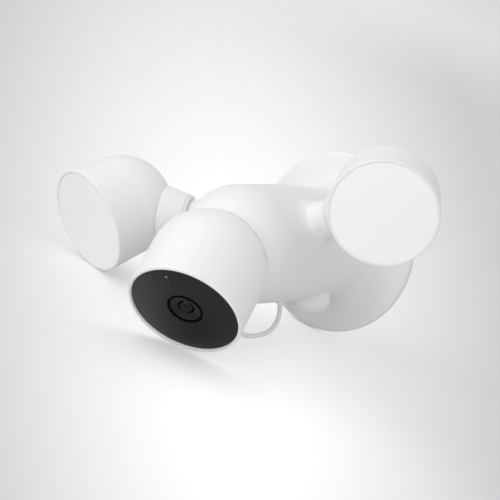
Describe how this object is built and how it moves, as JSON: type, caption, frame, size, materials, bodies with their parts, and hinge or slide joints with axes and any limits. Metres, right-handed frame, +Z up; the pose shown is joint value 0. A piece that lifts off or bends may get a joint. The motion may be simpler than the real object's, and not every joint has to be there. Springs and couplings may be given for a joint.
{
  "type": "floodlight security camera",
  "caption": "Wall-mounted security camera with a round tilting head, two swivelling round floodlights and a presence sensor under the neck.",
  "frame": {"origin": "centre of the mounting bracket's back face, on the wall", "axes": "+Y into the wall, -Y out of the wall, +Z up, +X along the two lights"},
  "size_m": [0.3146, 0.2313, 0.1392],
  "materials": {
    "white_moulding": "matte",
    "black_plastic": "matte",
    "black_glass": "gloss",
    "frosted_diffuser": "frosted",
    "grey_rubber": "matte",
    "zinc_steel": "zinc plated",
    "aluminium": "satin",
    "green_board": "solder mask",
    "white_board": "solder mask",
    "phosphor": "satin",
    "lens_glass": "gloss",
    "transformer_tape": "tape",
    "battery_wrap": "film",
    "lead_jacket": "satin"
  },
  "bodies": {
    "housing": {"mounting_bracket": "zinc_steel", "wall_gasket": "grey_rubber", "rear_plate": "white_moulding", "rear_plate_screw_1": "zinc_steel", "rear_plate_screw_2": "zinc_steel", "rear_plate_screw_3": "zinc_steel", "main_housing": "white_moulding", "power_board": "green_board", "terminal_block": "black_plastic", "transformer": "transformer_tape", "capacitor": "black_plastic", "led_driver": "black_plastic", "pir_bezel": "white_moulding", "pir_lens": "white_moulding", "pir_board": "green_board", "pir_sensor": "zinc_steel", "seat_magnet": "zinc_steel", "lead_gland": "white_moulding", "left_swivel_ring": "grey_rubber", "right_swivel_ring": "grey_rubber", "lead_neck_half": "lead_jacket"},
    "left_arm": {"left_collar": "white_moulding", "left_swivel_nut": "black_plastic", "left_clamp_stem": "zinc_steel"},
    "left_light": {"left_light_shell": "white_moulding", "left_diffuser": "frosted_diffuser", "left_reflector": "white_moulding", "left_led_board": "white_board", "left_led_array": "phosphor", "left_heat_sink": "aluminium"},
    "right_arm": {"right_collar": "white_moulding", "right_swivel_nut": "black_plastic", "right_clamp_stem": "zinc_steel"},
    "right_light": {"right_light_shell": "white_moulding", "right_diffuser": "frosted_diffuser", "right_reflector": "white_moulding", "right_led_board": "white_board", "right_led_array": "phosphor", "right_heat_sink": "aluminium"},
    "camera_seat": {"seat_pad": "grey_rubber"},
    "camera": {"camera_shell": "white_moulding", "face_glass": "black_glass", "lens_bezel": "black_plastic", "lens_barrel": "black_plastic", "lens_element": "lens_glass", "image_sensor": "black_plastic", "main_board": "green_board", "wireless_module": "aluminium", "led_ring_board": "green_board", "infrared_led_1": "lens_glass", "infrared_led_2": "lens_glass", "status_light": "frosted_diffuser", "microphone": "aluminium", "speaker": "black_plastic", "battery_pack": "battery_wrap", "dome_plate": "zinc_steel", "camera_port": "black_plastic", "lead_plug": "white_moulding", "lead_camera_half": "lead_jacket"},
    "reset_button": {"reset_button": "white_moulding"}
  },
  "joints": [
    {"name": "left_swivel", "type": "hinge", "parent": "housing", "child": "left_arm", "pos_m": [-0.1107, -0.1165, 0.029], "axis": [-0.9223, -0.3374, 0.1883], "range_deg": [-150, 150]},
    {"name": "left_tilt", "type": "hinge", "parent": "left_arm", "child": "left_light", "pos_m": [-0.1107, -0.1165, 0.029], "axis": [-0.3446, 0.4976, -0.796], "range_deg": [-4, 22]},
    {"name": "right_swivel", "type": "hinge", "parent": "housing", "child": "right_arm", "pos_m": [0.1107, -0.1165, 0.029], "axis": [0.9223, -0.3374, 0.1883], "range_deg": [-150, 150]},
    {"name": "right_tilt", "type": "hinge", "parent": "right_arm", "child": "right_light", "pos_m": [0.1107, -0.1165, 0.029], "axis": [-0.3446, -0.4976, 0.796], "range_deg": [-4, 22]},
    {"name": "camera_swivel", "type": "hinge", "parent": "housing", "child": "camera_seat", "pos_m": [0, -0.174, -0.0161], "axis": [0, 0.9329, 0.3602], "range_deg": [-40, 40], "deforming": ["lead_neck_half"]},
    {"name": "camera_tilt", "type": "hinge", "parent": "camera_seat", "child": "camera", "pos_m": [0, -0.174, -0.0161], "axis": [1, 0, 0], "range_deg": [-48, 6], "deforming": ["lead_camera_half"]},
    {"name": "reset_button_press", "type": "slide", "parent": "camera", "child": "reset_button", "axis": [0, -0.6984, 0.7157], "range_m": [0, 0.0008], "stiffness_N_per_m": 400, "springref_m": -0.0005}
  ]
}
